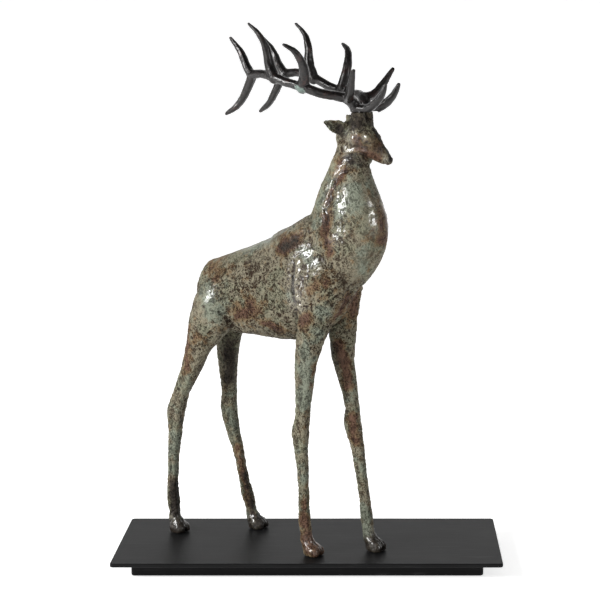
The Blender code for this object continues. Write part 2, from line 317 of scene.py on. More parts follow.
for side in (RIGHT, LEFT):
    stroke(stag, NECK_CREASE, width=2.6, depth=1.9, side=side, wander=2.2)
    stroke(stag, NECK_LIP, width=1.4, depth=-0.9, side=side, wander=1.4)
    for forward, left, up in NECK_LUMPS:
        dent(stag, (forward, side * left, up), size=(3.6, 5, 3), depth=-0.9)
    for forward, left, up in SHOULDER_LUMPS:
        bolder = 0.04 * (SHOULDER_LUMPS[0][2] - up)
        dent(stag, (forward, side * left, up), size=(4.2, 6, 3.4), depth=-1.3 - bolder)
    stroke(stag, SHOULDER_CREASE, width=2.2, depth=2.4, side=side, wander=1.0)
    stroke(stag, SHOULDER_RIDGE, width=6, depth=-1.8, side=side, wander=1.5)
    stroke(stag, STIFLE_FOLD, width=3.2, depth=1.5, side=side)
    stroke(stag, ELBOW_FOLD, width=3, depth=1.2, side=side, wander=1.0)
    stroke(stag, BELLY_RIDGE, width=3.5, depth=-0.8, side=side, wander=2.0)
    for fold in BREAST_FOLDS:
        stroke(stag, fold, width=1.5, depth=-1.3, side=side, wander=0.8)
    dent(stag, (-72, side * 36, 262), size=(16, 14, 20), depth=-1.2)
    dent(stag, (112, side * 20, 350), size=(9, 9, 16), depth=0.9)
print("neck and shoulder drawn")

# %% [markdown]
# ## Head
# The jaw's edge stands clear of the throat. The eye sits in a shallow hollow under a heavy brow, with a lump of
# clay behind it, and the muzzle has a short mouth and a nostril.

# %% Draw the head
JAW_EDGE = [(95, 441), (97.5, 435.5), (103, 436), (109, 438), (114, 439)]
UNDER_JAW = [(93, 428), (101, 431), (110, 434), (118, 434)]
LOWER_LID = [(114, 451), (119, 444.6), (124, 444.6)]
BROW = [(112, 454), (119.5, 453.2), (125.5, 447.5)]
MOUTH = [(141, 426.5), (134, 427.2), (128, 431)]
CHEEK_HOLLOW = [(104, 452), (110, 444), (120, 440)]
NOSE_WING = [(140.5, 430), (137.5, 436.5)]
for side in (RIGHT, LEFT):
    stroke(stag, JAW_EDGE, width=1.9, depth=-1.5, side=side, wander=0.5)
    stroke(stag, UNDER_JAW, width=1.6, depth=0.6, side=side, wander=0.5)
    stroke(stag, LOWER_LID, width=1.3, depth=0.7, side=side)
    stroke(stag, BROW, width=1.6, depth=-1.1, side=side)
    stroke(stag, MOUTH, width=1.1, depth=0.8, side=side)
    stroke(stag, CHEEK_HOLLOW, width=3.2, depth=0.8, side=side, wander=0.6)
    dent(stag, (107, side * 15, 449.5), size=(3.8, 5, 3.6), depth=-2.3)
    dent(stag, (121.5, side * 10.8, 451), size=(3.6, 4, 3.2), depth=-1.6)
    dent(stag, (116.5, side * 10.4, 437.5), size=(1.9, 3, 1.6), depth=-1.2)
    stroke(stag, NOSE_WING, width=1.4, depth=-0.6, side=side)
    dent(stag, (138.5, side * 5.2, 432), size=(1.5, 1.8, 1.2), depth=1.2)
print("head drawn")

# %% [markdown]
# ## Ears
# Each ear is a leaf folded to a shallow bowl that opens forward and outward. The bowl is pressed into the
# solid leaf, deepest along its middle, and a thin rim is left round it.

# %% Hollow the ears
EAR_ROOT, EAR_TIP = (93.5, 13, 459.5), (75.5, 24, 467.5)
EAR_OPENS = np.array((0.46, 0.84, -0.22))
EAR_HALF_WIDTH, EAR_DEPTH, EAR_REACH = 6.2, 3.2, 7


def hollow_ear(piece, side):
    points, normals = read_skin(piece)
    mirror = np.array((1, side, 1))
    root, tip = np.array(EAR_ROOT) * mirror, np.array(EAR_TIP) * mirror
    opens = EAR_OPENS * mirror / np.linalg.norm(EAR_OPENS)
    along = (tip - root) / np.linalg.norm(tip - root)
    across = np.cross(along, opens)
    local = points - root
    t = local @ along / np.linalg.norm(tip - root)
    half_width = EAR_HALF_WIDTH * np.sqrt(np.clip(1.05 - t, 0, 1)) + 0.4
    inside = np.clip(1 - (local @ across / half_width) ** 2, 0, 1)
    reach = smooth_step(t, 0.02, 0.25) * (1 - smooth_step(t, 0.8, 0.97))
    near = (np.abs(local @ opens) < EAR_REACH) & (t < 1)
    facing = smooth_step(normals @ opens, 0.1, 0.5)
    depth = EAR_DEPTH * inside * reach * near * facing
    write_skin(piece, points - opens * depth[:, None])


for side in (RIGHT, LEFT):
    hollow_ear(stag, side)
print("ears hollowed")

# %% [markdown]
# ## Hooves
# A stag's hoof is cloven. A short narrow cleft parts the two toes from the front to the dewclaws, and a faint
# groove rings the leg where horn gives way to skin.


# %% Cleave the hooves
HOOF_REACH, HOOF_HALF_WIDTH, HORN_TOP = 20, 12, 11


def groove(offsets, width):
    """1 along the middle of a groove, fading to both sides."""
    return np.exp(-((offsets / width) ** 2))


def cleave(piece, sole):
    points, normals = read_skin(piece)
    forward, left = sole
    ahead, beside, up = points[:, 0] - forward, points[:, 1] - left, points[:, 2]
    reach = smooth_step(points[:, 0], forward - 4, forward + 4)
    low = 1 - smooth_step(up, 10, 15)
    near = (np.abs(ahead) < HOOF_REACH) & (np.abs(beside) < HOOF_HALF_WIDTH)
    clefts = 1.7 * groove(beside, 1.1) + 0.7 * groove(beside - 5, 0.9)
    ring = 0.55 * groove(up - HORN_TOP + 0.35 * ahead, 1.2) * near
    write_skin(piece, points - normals * (clefts * reach * low * near + ring)[:, None])


for sole in SOLES.values():
    cleave(stag, sole)
print("hooves cleft")

# %% [markdown]
# ## Coarse and calm places
# The flanks and shoulders are covered in little strings of clay. The nape, the back, the throat's front, the
# haunches and the face were wiped almost smooth with a thumb. Where a hand would stroke the piece it was waxed, and
# its strings are rubbed down to softer folds. Patches are listed once, as lines with a width and an amount, and the
# same tool lays the patches of colour later, stains, painted shade and painted sheen alike.


# %% Where the skin is coarse, calm or waxed
def both_sides(patches):
    return [(width, amount, [(f, side * left, u) for f, left, u in line])
            for width, amount, line in patches for side in (RIGHT, LEFT)]


def patched(points, patches):
    """0 to 1 or a little more: how much of the strongest patch reaches each point."""
    strongest = np.zeros(len(points))
    for width, amount, line in patches:
        strongest = np.maximum(strongest, amount * np.exp(-((line_distance(points, line) / width) ** 2)))
    return strongest


CALM = both_sides([
    (10, 0.9, [(80, 9, 420), (68, 12, 388), (62, 14, 354)]),
    (17, 0.95, [(60, 6, 352), (20, 6, 342), (-30, 6, 326), (-70, 6, 310)]),
    (20, 0.8, [(118, 12, 395), (124, 14, 350), (116, 14, 318)]),
    (15, 0.7, [(-76, 36, 270), (-74, 36, 256)]),
    (12, 0.4, [(104, 10, 452), (122, 8, 442), (136, 5, 432)]),
    (15, 0.4, [(105, 9, 478), (106, 9, 466)]),
])
WAXED = both_sides([
    (10, 1.0, [(48, 33, 274), (50, 31, 305), (58, 30, 329)]), (8, 0.8, [(68, 33, 316), (60, 31, 324)]),
    (8, 1.0, [(98, 25, 390), (94, 27, 374)]), (7, 0.8, [(100, 30, 352), (91, 30, 344)]),
    (3.5, 1.0, [(98, 14.5, 432), (92, 16, 416), (81, 18, 402), (78, 22, 385), (76, 24, 365)]),
    (9, 1.0, [(130, 13, 380), (130, 15, 360)]), (8, 0.8, [(-68.5, 33, 276)]),
    (6, 1.0, [(103, 15, 452), (107, 15, 451)]), (5, 1.0, [(119.6, 11.8, 453)]),
    (3.5, 1.0, [(98, 14.5, 437), (106, 14, 438), (116, 11, 438)]), (3.5, 1.0, [(140, 4.5, 431), (137, 5, 437)]),
    (12, 0.4, [(48, 8, 348), (-30, 8, 325)]),
]) + [(14, 1.0, [(forward, left, 5)]) for forward, left in SOLES.values()]


def coarseness(points):
    """1 where the strings stand tall, less on the legs and hooves, 0 where the skin was wiped smooth."""
    legs = 0.8 + 0.2 * smooth_step(points[:, 2], 200, 240)
    hooves = 0.75 + 0.25 * smooth_step(points[:, 2], 10, 24)
    return (1 - patched(points, CALM)) * legs * hooves


points, _ = read_skin(stag)
coarse_share = coarseness(points)
waxed_share = patched(points, WAXED)
print("mean coarseness", round(float(coarse_share.mean()), 2), "mean wax", round(float(waxed_share.mean()), 2))

# %% [markdown]
# ## The worked skin
# Layers of noise build the hand-made surface: broad pinches everywhere, strings of clay and a fine crust on coarse
# places, soft folds on waxed ones and uneven horn on the hooves. Displace modifiers push the real mesh out and in,
# so the lumps catch the light, and a vertex group tells each layer where to hold back. Hard noise has sharp
# valleys, so a negative push turns them into raised strings.


# %% Work the skin
WEIGHT_STEPS = 20


def rough_weights(piece, name, amounts):
    """A vertex group that lets through that share of a layer, in a few even steps."""
    group = piece.vertex_groups.new(name=name)
    levels = np.round(np.clip(amounts, 0, 1) * WEIGHT_STEPS) / WEIGHT_STEPS
    for level in np.unique(levels):
        members = np.nonzero(levels == level)[0].tolist()
        group.add(members, float(level), "REPLACE")


def lumps(piece, name, size, height, group, middle=0.5, noise_type="SOFT_NOISE"):
    """One layer of noise, pushing the skin in and out by its height."""
    texture = bpy.data.textures.new(name, "CLOUDS")
    texture.noise_scale = size
    texture.noise_depth = 1
    texture.noise_type = noise_type
    push = piece.modifiers.new(name, "DISPLACE")
    push.texture = texture
    push.texture_coords = "LOCAL"
    push.strength = height
    push.mid_level = middle
    push.vertex_group = group


rough_weights(stag, "broad", 0.35 + 0.65 * coarse_share)
rough_weights(stag, "rough", (0.12 + 0.88 * coarse_share) * (1 - 0.45 * waxed_share))
rough_weights(stag, "folded", waxed_share)
rough_weights(stag, "horn", 1 - smooth_step(points[:, 2], 8, 20))
lumps(stag, "pinches", 13 * MM, 1.5 * MM, "broad")
lumps(stag, "strings", 4.4 * MM, -1.7 * MM, "rough", middle=0.3, noise_type="HARD_NOISE")
lumps(stag, "crust", 2.2 * MM, 0.45 * MM, "rough")
lumps(stag, "folds", 6 * MM, 1.6 * MM, "folded")
lumps(stag, "horn", 2.6 * MM, 1.1 * MM, "horn")
apply_modifiers(stag)
print("skin worked")

# %% [markdown]
# ## Fewer faces, same relief
# The even skin spends as many faces on smooth places as on rough ones. Decimate gives back the ones that the
# relief doesn't need, and the points are kept inside the solid's box, so that the casting never outgrows it.


# %% Thin the skin
def thin(piece, most):
    piece.data.calc_loop_triangles()
    found = len(piece.data.loop_triangles)
    if found > most:
        fewer = piece.modifiers.new("fewer_faces", "DECIMATE")
        fewer.ratio = most / found
        apply_modifiers(piece)
    piece.data.calc_loop_triangles()
    print(piece.name, found, "triangles, kept", len(piece.data.loop_triangles))


def keep_in_box(piece, node):
    """The points past the solid's box are brought back to it."""
    low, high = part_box(node)
    room = np.empty(len(piece.data.vertices) * 3)
    piece.data.vertices.foreach_get("co", room)
    room = np.clip(room.reshape(-1, 3), np.array(low), np.array(high))
    piece.data.vertices.foreach_set("co", room.ravel())
    piece.data.update()


def finish_casting(piece, node, most):
    thin(piece, most)
    keep_in_box(piece, node)
    select_only(piece)
    bpy.ops.object.shade_smooth()
    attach(piece, "root")
    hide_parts(node)


finish_casting(stag, "stag", most=196000)

# %% [markdown]
# ## Antlers
# The antlers were cast apart. They are smooth and nearly black, with long shallow flutes that run from burr to
# tip, as on real antler. The middle line of each branch is repeated here, so that a flute can follow it.

# %% The antlers' branches
BRANCHES = {
    "beam": [
        (108.4, 9.3, 471), (107, 10.5, 482), (101.5, 15, 490), (91, 24, 494.2), (79, 33, 496.4), (66, 38.5, 501.3),
        (46, 39.5, 506.2), (25, 38.5, 512), (6, 35.5, 515.8), (-9, 32, 515.6), (-15.5, 31, 524),
        (-22, 31, 537.5), (-35, 31.4, 553.2),
    ],
    "lower_fork": [(-7, 31, 514), (-14.5, 29, 502), (-21.5, 29, 489.5), (-29, 30.5, 480.5), (-41, 32.5, 472.5)],
    "brow_tine": [(106, 11, 481.5), (118, 11, 480.2), (131, 12, 486.5), (139, 13, 495), (144.6, 13.5, 505.5)],
    "bez_tine": [(101, 15.5, 490.5), (108, 24.5, 494.2), (115.5, 33.5, 506), (122.3, 40.5, 520.5)],
    "middle_tine": [(59.5, 38.5, 502), (64, 41, 515), (63.5, 47, 530), (58.8, 53.5, 540.5), (49.3, 58.5, 546.5)],
    "royal_tine": [(25, 38, 511), (19.3, 38.5, 524), (17, 41, 541), (10.8, 44, 556), (-2.2, 45.5, 568)],
}
LEFT_DIP, DIP_MIDDLE, DIP_REACH, DIP_TOP = 11.5, 45, 28, 500


def branch_line(rows, side):
    """The branch's middle line. The left beam dips a little more between its bez and its middle tine."""
    line = np.array(rows, float)
    if side == LEFT:
        near = np.exp(-(((line[:, 0] - DIP_MIDDLE) / DIP_REACH) ** 2))
        line[:, 2] -= LEFT_DIP * near * np.exp(-np.maximum(0, line[:, 2] - DIP_TOP) / 10)
    line[:, 1] *= side
    return line


print(len(BRANCHES), "branches on each antler")

# %% [markdown]
# ## Flutes
# For each point the nearest branch gives two numbers: how far along it lies, and its angle round the branch. A
# sum of waves in the angle, drifting slowly along the branch, makes flutes of uneven width.


# %% Flute an antler
BRANCH_START = 60
FAR_AWAY = 1e9
FLUTE_HEIGHT, FLUTE_SINK = 0.11, 0.1


def branch_places(points, side):
    """How far along its nearest branch each point lies, and its angle round that branch."""
    best = np.full(len(points), FAR_AWAY)
    along = np.zeros(len(points))
    angle = np.zeros(len(points))
    for number, rows in enumerate(BRANCHES.values()):
        line = branch_line(rows, side)
        travelled = BRANCH_START * number
        for start, end in zip(line, line[1:]):
            span = end - start
            length = np.linalg.norm(span)
            t = np.clip((points - start) @ span / length**2, 0, 1)
            off = points - start - t[:, None] * span
            distance = np.linalg.norm(off, axis=1)
            up = np.cross(span / length, (0, 1, 0))
            out = np.cross(up, span / length)
            nearer = distance < best
            best = np.where(nearer, distance, best)
            along = np.where(nearer, travelled + t * length, along)
            angle = np.where(nearer, np.arctan2(off @ out, off @ up), angle)
            travelled += length
    return along, angle


def flute(piece, side):
    points, normals = read_skin(piece)
    along, angle = branch_places(points, side)
    waves = (
        np.cos(3 * angle + along * 0.035)
        + 0.8 * np.cos(5 * angle - along * 0.05 + 1.3)
        + 0.5 * np.cos(8 * angle + along * 0.02 + 2.1)
    )
    write_skin(piece, points + normals * (FLUTE_HEIGHT * waves - FLUTE_SINK)[:, None])


antlers = {}
for side, node, name in ((RIGHT, "antler_right", "cast_antler_right"), (LEFT, "antler_left", "cast_antler_left")):
    antler = clay_copy(node, name)
    reskin(antler, voxel=0.5 * MM, rounds=10)
    flute(antler, side)
    rough_weights(antler, "rough", np.ones(len(antler.data.vertices)))
    lumps(antler, name + "_waves", 8 * MM, 0.8 * MM, "rough")
    lumps(antler, name + "_grain", 2.4 * MM, 0.22 * MM, "rough")
    apply_modifiers(antler)
    finish_casting(antler, node, most=90000)
    antlers[side] = antler

# %% [markdown]
# ## Where colour gathers
# Patina is thick in the pits and worn thin on the ridges. So the depth of each point under its smoothed
# surroundings is measured and kept on the mesh as a named attribute, where the paint can read it.


# %% Measure the pits
def smoothed(points, edges, rounds):
    """Each round moves every point to the mean of its neighbours."""
    count = len(points)
    degree = np.bincount(edges.ravel(), minlength=count)[:, None]
    for _ in range(rounds):
        total = np.empty_like(points)
        for axis in range(points.shape[1]):
            total[:, axis] = np.bincount(edges[:, 0], points[edges[:, 1], axis], count)
            total[:, axis] += np.bincount(edges[:, 1], points[edges[:, 0], axis], count)
        points = total / np.maximum(degree, 1)
    return points


def keep_values(piece, name, values):
    """One number for each point, kept on the mesh under a name."""
    layer = piece.data.attributes.get(name) or piece.data.attributes.new(name, "FLOAT", "POINT")
    layer.data.foreach_set("value", values.astype(np.float32))


def measure_pits(piece, rounds, full_depth):
    """Kept as 1 in a pit of the full depth, 0 on the mean skin and -1 on a ridge of that height."""
    points, normals = read_skin(piece)
    edges = np.empty(len(piece.data.edges) * 2, np.int32)
    piece.data.edges.foreach_get("vertices", edges)
    edges = edges.reshape(-1, 2)
    sunk = ((smoothed(points, edges, rounds) - points) * normals).sum(axis=1)
    sunk -= smoothed(sunk[:, None], edges, 3 * rounds)[:, 0]
    keep_values(piece, "pits", np.clip(sunk / full_depth, -1, 1))
    print(piece.name, "pits", np.round(np.percentile(sunk, (5, 50, 95)), 2), "mm")


measure_pits(stag, rounds=14, full_depth=0.7)
for antler in antlers.values():
    measure_pits(antler, rounds=14, full_depth=0.3)

# %% [markdown]
# ## Stains by hand, painted shade and a painted sheen
# Some colour is where the finisher put it: rust down the neck crease and on the lower flank, grey-green on the
# throat, shoulder and haunch, near-black round the antlers' roots, on the muzzle's rim and on three of the hooves.
# Some of the same patches are painted light and shade: near-black under the jaw, down the chest's front and in the
# shoulder crease, and red-brown down the right foreleg's front, are painted shade, and grey-green along the top of
# the back is a painted sheen. Each is a soft patch along a line, and the paint breaks its edge up later. The legs
# don't match each other, so their patches are listed one by one.

# %% Rust, and painted shade down the right foreleg
RUST_AND_SHADE = both_sides([
    (5, 0.9, [(99, 15, 419), (87, 18, 402), (79, 22, 384)]), (8, 1.0, [(79, 25, 366), (82, 27, 348), (86, 30, 334)]),
    (5, 0.6, [(92, 15, 430), (85, 17, 410)]), (10, 1.1, [(28, 28, 333), (42, 28, 341)]),
    (12, 0.8, [(-8, 29, 264), (-32, 27, 256)]), (8, 0.7, [(0, 26, 249), (20, 22, 242)]),
    (7, 1.0, [(50, 34, 254), (62, 37, 261)]), (11, 0.55, [(68, 37, 290), (84, 35, 302)]),
    (12, 1.0, [(92, 10, 280), (88, 14, 264)]), (15, 0.5, [(-74, 16, 304), (-60, 24, 298)]),
    (6, 1.0, [(-98, 20, 286), (-99, 28, 262)]), (5, 1.2, [(111.5, 14.6, 450), (113, 14, 441)]),
    (8, 0.6, [(118, 9, 446), (133, 6, 439)]), (6, 1.2, [(116, 9, 437), (131, 6, 430)]),
    (3, 1.3, [(132.5, 3, 445)]), (8, 0.8, [(133, 5, 344), (137, 5, 376)]),
]) + [
    (6, 0.8, [(-97, -33, 235), (-100, -32, 190)]), (9, 0.5, [(-82, -36, 225)]),
    # The line down the front of the right foreleg is painted shade: red-brown on the side turned from the window.
    (5, 0.7, [(62, -23, 207), (59, -24, 170), (60, -26, 120), (59, -27, 60)]),
    (6, 0.9, [(53, -29, 55), (54, -31, 31)]), (13, 1.2, [(57, -28, 16), (66, -27, 6)]),
    (7, 1.0, [(72, 10, 225), (79, 14, 199), (82, 15, 182)]),
    (7, 0.9, [(86, 16, 146), (91, 16, 120)]), (5, 0.8, [(-70, 22, 92), (-62, 24, 50), (-52, 24, 16)]),
]
print(len(RUST_AND_SHADE), "rust stains")

# %% Grey-green, and a painted sheen along the back
GREEN = both_sides([
    (13, 1.0, [(106, 21, 398), (111, 23, 382)]), (9, 0.7, [(96, 24, 388), (97, 26, 370)]),
    (7, 0.7, [(118, 6, 408), (126, 7, 396)]), (10, 0.7, [(124, 20, 336), (117, 17, 314)]),
    (10, 0.8, [(53, 28, 333), (66, 32, 316)]), (15, 1.0, [(-68, 33, 280), (-57, 35, 254)]),
    (8, 1.0, [(85, 33, 273), (78, 35, 266)]), (9, 0.8, [(73, 27, 242), (58, 33, 230)]),
    # The first patch on this line, pale grey-green along the top of the back, is a painted sheen: the pale room
    # reflected on the smooth back.
    (13, 0.8, [(48, 8, 348), (10, 8, 338), (-30, 8, 325)]), (11, 0.8, [(80, 14, 400), (70, 18, 372), (62, 16, 352)]),
    (9, 0.7, [(107, 10, 424)]), (8, 0.5, [(84, 20, 464), (76, 23, 467)]), (6, 0.6, [(38, 32, 286), (40, 30, 262)]),
    (3.5, 0.8, [(142, 3, 429)]),
]) + [
    (9, 1.0, [(57, -31, 226), (56, -31, 190), (52, -28, 165)]), (6, 0.6, [(52, -29, 84)]),
    (6, 0.8, [(84, 15, 166)]), (6, 0.5, [(94, 17, 98), (96, 17, 86)]), (7, 1.0, [(100, 17, 45), (104, 17, 20)]),
    (7, 0.6, [(-118, -30, 110), (-121, -29, 72)]), (7, 0.7, [(-116, -32, 12), (-112, -36, 3)]),
    (5, 0.6, [(-77, 19, 134), (-74, 21, 112)]),
]
print(len(GREEN), "grey-green stains")

# %% Near-black, and painted shade in three places
DARK = both_sides([
    # The second patch on this line, near-black under the jaw, is painted shade where the jaw overhangs the throat;
    # the first, at the antlers' roots, is a stain.
    (11, 1.1, [(108, 9, 484), (108, 9, 464)]), (9.5, 0.85, [(110, 9, 427), (102, 14, 427)]),
    (13, 0.62, [(104, 10, 450), (122, 8, 444), (134, 5, 436)]), (9, 0.8, [(28, 28, 333), (42, 28, 341)]),
    (7, 0.8, [(-100, 8, 294), (-106, 10, 265)]), (2.5, 1.3, [(-70, 37.5, 262)]),
    # The first patch on this line, near-black down the chest's front, is painted shade on the side turned from the
    # window, over the rust laid there.
    (8, 0.35, [(134, 2, 346), (137, 3, 376)]), (9, 0.2, [(112, 10, 300), (92, 8, 272), (84, 10, 250)]),
    (9, 0.5, [(0, 18, 241), (26, 16, 236)]), (3.5, 0.9, [(121, 11.5, 447)]),
    # The first patch on this line darkens the upright crease behind the shoulder: painted shade in the crease.
    (2.5, 0.8, [(43.5, 34, 304), (43.5, 33, 268)]), (10, 0.6, [(-78, 14, 236)]),
    (5, 0.5, [(81, 21, 393), (77, 25, 364), (83, 28, 338)]), (4, 0.7, [(139, 3, 426)]),
    (10, 0.35, [(80, 14, 400), (70, 18, 372), (62, 16, 352)]), (7, 1.1, [(92, 18, 460), (90, 20, 446)]),
    (3.5, 1.0, [(124, 1, 458), (136, 1, 445), (143, 1, 434), (143, 2, 428)]),
]) + [
    (11, 0.85, [(-73, 14, 232), (-75, 16, 200), (-76, 18, 172)]), (9, 1.0, [(-121, -28, 52), (-120, -29, 20)]),
    (7, 0.7, [(-62, 26, 60), (-52, 26, 12)]), (10, 0.8, [(64, 16, 222), (70, 18, 205)]),
    (7, 0.6, [(62, -24, 3), (68, -25, 3)]),
]
for hoof in ("left_fore", "right_hind", "left_hind"):
    forward, left = SOLES[hoof]
    DARK.append((16, 1.2, [(forward - 3, left, 2), (forward + 4, left, 3)]))
print(len(DARK), "near-black stains")

# %% Lay the stains, the painted shade and the painted sheen
points, _ = read_skin(stag)
for name, patches in (("rust", RUST_AND_SHADE), ("green", GREEN), ("dark", DARK), ("waxed", WAXED)):
    keep_values(stag, name, patched(points, patches))
keep_values(stag, "coarse", coarseness(points))
keep_values(stag, "leg", 1 - smooth_step(points[:, 2], 190, 230))
print("stains laid")

# %% [markdown]
# ## A small language for paint
# A material is a graph of nodes. One class wraps a socket so that sums read as Python, and another adds nodes
# to one material and keeps the wiring out of sight.


# %% Wires and paint
class Wire:
    """One output socket. A sum or product with it adds Math nodes."""

    def __init__(self, paint, socket):
        self.paint, self.socket = paint, socket

    def _math(self, operation, *values, clamp=False):
        settings = {"operation": operation, "use_clamp": clamp}
        return self.paint.node("ShaderNodeMath", settings, dict(enumerate(values)))

    def __add__(self, other):
        return self._math("ADD", self, other)

    def __sub__(self, other):
        return self._math("SUBTRACT", self, other)

    def __mul__(self, other):
        return self._math("MULTIPLY", self, other)

    def __rsub__(self, other):
        return self._math("SUBTRACT", other, self)

    def __abs__(self):
        return self._math("ABSOLUTE", self)

    __radd__, __rmul__ = __add__, __mul__

    def limited(self):
        return self._math("MULTIPLY", self, 1, clamp=True)

    def or_more(self, other):
        return self._math("MAXIMUM", self, other)

    def ramp(self, low, high):
        """0 below low, 1 above high, and smooth between."""
        settings = {"interpolation_type": "SMOOTHSTEP"}
        inputs = {"Value": self, "From Min": low, "From Max": high}
        return self.paint.node("ShaderNodeMapRange", settings, inputs)


class Paint:
    """One material and the nodes that are added to it."""

    def __init__(self, name):
        self.material = bpy.data.materials.new(name)
        self.material.use_nodes = True
        self.tree = self.material.node_tree
        self.shader = self.tree.nodes["Principled BSDF"]

    def node(self, kind, settings=None, inputs=None, output=0):
        made = self.tree.nodes.new(kind)
        for key, value in (settings or {}).items():
            setattr(made, key, value)
        for key, value in (inputs or {}).items():
            self.set(made.inputs[key], value)
        return Wire(self, made.outputs[output])

    def set(self, socket, value):
        if isinstance(value, Wire):
            self.tree.links.new(value.socket, socket)
        elif isinstance(value, tuple) and len(value) == 3 and socket.type == "RGBA":
            socket.default_value = (*value, 1)
        else:
            socket.default_value = value

    def finish(self, **values):
        for key, value in values.items():
            self.set(self.shader.inputs[key.replace("_", " ")], value)


print("paint ready")

# %% [markdown]
# ## Noise, blends and bumps
# Shortcuts on top. Three make patterns of a real size in metres: plain noise, crumpled folds, and strings that
# wander. The others read a value kept on the mesh, blend two colours, and stack small bumps.


# %% Shortcuts
def position(paint, stretch, shift):
    """Where the paint is on the piece. Every pattern gets a shift of its own, so that no two are alike."""
    inputs = {"Vector": paint.node("ShaderNodeTexCoord", output="Object"), "Scale": stretch}
    return paint.node("ShaderNodeMapping", inputs={**inputs, "Location": (shift, shift * 0.7, -shift)})


def noise(paint, size, detail=3, roughness=0.55, stretch=(1, 1, 1), shift=0, distortion=0):
    """Noise with features of about that size, in metres."""
    inputs = {"Vector": position(paint, stretch, shift), "Scale": 1 / size}
    inputs.update({"Detail": detail, "Roughness": roughness, "Distortion": distortion})
    return paint.node("ShaderNodeTexNoise", inputs=inputs)


def folds(paint, size, shift=0, stretch=(1, 1, 1)):
    """Crumpled folds, like a wrung cloth: bright crests, dark between."""
    inputs = {"Vector": position(paint, stretch, shift), "Scale": 1 / size, "Distortion": 1.8}
    inputs.update({"Detail": 3, "Roughness": 0.6, "Lacunarity": 2.2, "Offset": 0.9, "Gain": 1.5})
    return paint.node("ShaderNodeTexNoise", {"noise_type": "RIDGED_MULTIFRACTAL"}, inputs)


def strings(paint, size, shift, thin=8, stretch=(1, 1, 1)):
    """Wandering lines, 1 along a line and 0 between: the places where a noise passes its middle."""
    field = noise(paint, size, detail=2, stretch=stretch, shift=shift, distortion=0.9)
    return (1 - abs(field - 0.5) * thin * 2).limited()


def kept(paint, name):
    """A value that was kept on the mesh."""
    return paint.node("ShaderNodeAttribute", {"attribute_name": name}, output="Fac")


def blend(paint, first, second, mask):
    settings = {"data_type": "RGBA", "blend_type": "MIX"}
    return paint.node("ShaderNodeMix", settings, {"Factor": mask, 6: first, 7: second}, output=2)


def bump(paint, height, distance, strength=1.0, under=None):
    """Small relief in the shading, laid over what is under it."""
    inputs = {"Height": height, "Distance": distance, "Strength": strength}
    if under is not None:
        inputs["Normal"] = under
    return paint.node("ShaderNodeBump", inputs=inputs)


print("shortcuts ready")

# %% [markdown]
# ## Verdigris bronze
# Under everything is dark brown bronze. Acid has turned it olive and grey-green in drifting patches, with ochre and
# red iron stains between; in a few places the same grey-green is a painted sheen and the red-brown is painted shade.
# What lights the metal is one sum: raised strings and folds are rubbed lighter, and the pits stay dark. Each colour
# is a dark and a worn tone blended by it.

# %% Mix the stag's tones
bronze = Paint("verdigris_bronze")
drift = noise(bronze, 34 * MM, detail=2, shift=0.31)
cloud = noise(bronze, 11 * MM, roughness=0.6, shift=1.7)
other = noise(bronze, 9 * MM, roughness=0.6, shift=2.9)
fleck = noise(bronze, 2.4 * MM, detail=2, roughness=0.7, shift=4.1, distortion=0.6)
grit = noise(bronze, 1.3 * MM, detail=1, roughness=0.7, shift=7.7)
mass = noise(bronze, 16 * MM, shift=8.5)
coarse, pits, waxed = kept(bronze, "coarse"), kept(bronze, "pits"), kept(bronze, "waxed")
# The dark value holds the near-black patches: stains, and painted shade under the jaw, down the chest's front and in
# the shoulder crease.
leg, stained_and_shaded = kept(bronze, "leg"), kept(bronze, "dark")

curls = strings(bronze, 13 * MM, 5.5, 14)
curls = curls.or_more(strings(bronze, 9 * MM, 9.1, 11)).or_more(strings(bronze, 6 * MM, 12.3, 10))
bark = strings(bronze, 10 * MM, 6.5, 11, (1, 1, 0.4)).or_more(strings(bronze, 6.5 * MM, 3.1, 9, (1, 1, 0.5)))
threads = curls + (bark - curls) * leg
crumple = folds(bronze, 8 * MM, 3.3, (1, 1, 0.8)) * 0.5
creases = folds(bronze, 3.4 * MM, 6.1) * 0.5
fine = creases * 0.38 + (creases - 0.38) * leg
light = threads * (coarse * 0.45 + 0.1) + crumple * 0.6 + fine + mass * 0.6 + grit * 0.4
calm = 1 - coarse * (1 - leg * 0.2)
worn = (light - pits * 0.2 - coarse * 0.2).ramp(0.69, 1.13) * (1 - calm * 0.45) + calm * 0.41
# Near-black patches hold back the rubbed light, both where they are stains and where they are painted shade.
worn = worn * (1 - stained_and_shaded * 0.55)

brown = blend(bronze, (0.022, 0.012, 0.006), (0.205, 0.184, 0.130), worn)
olive = blend(bronze, (0.021, 0.016, 0.008), (0.192, 0.186, 0.128), worn)
green = blend(bronze, (0.034, 0.036, 0.026), (0.185, 0.203, 0.156), worn)
ochre = blend(bronze, (0.026, 0.012, 0.004), (0.170, 0.118, 0.064), worn)
rust = blend(bronze, (0.022, 0.009, 0.004), (0.120, 0.067, 0.044), worn)
black = blend(bronze, (0.004, 0.003, 0.002), (0.060, 0.047, 0.036), worn)
print("tones mixed")

# %% [markdown]
# ## Patina, wax and fine relief
# The tones lie over each other in the order they formed: olive on the brown, ochre on that, then green, rust and
# black. The green is also a painted sheen along the back, and the rust and black are also painted shade in a few
# places. Where it was waxed the gloss is high, and small folds in the wax break the window's reflection into white
# wrinkles. Relief too fine for the mesh is left to bumps, which are held back on calm and waxed places.

# %% Paint the stag
# The rust value holds the red-brown patches: rust, and painted shade down the front of the right foreleg.
rusty_and_shaded = kept(bronze, "rust") * 0.5 + other + fleck * 0.25
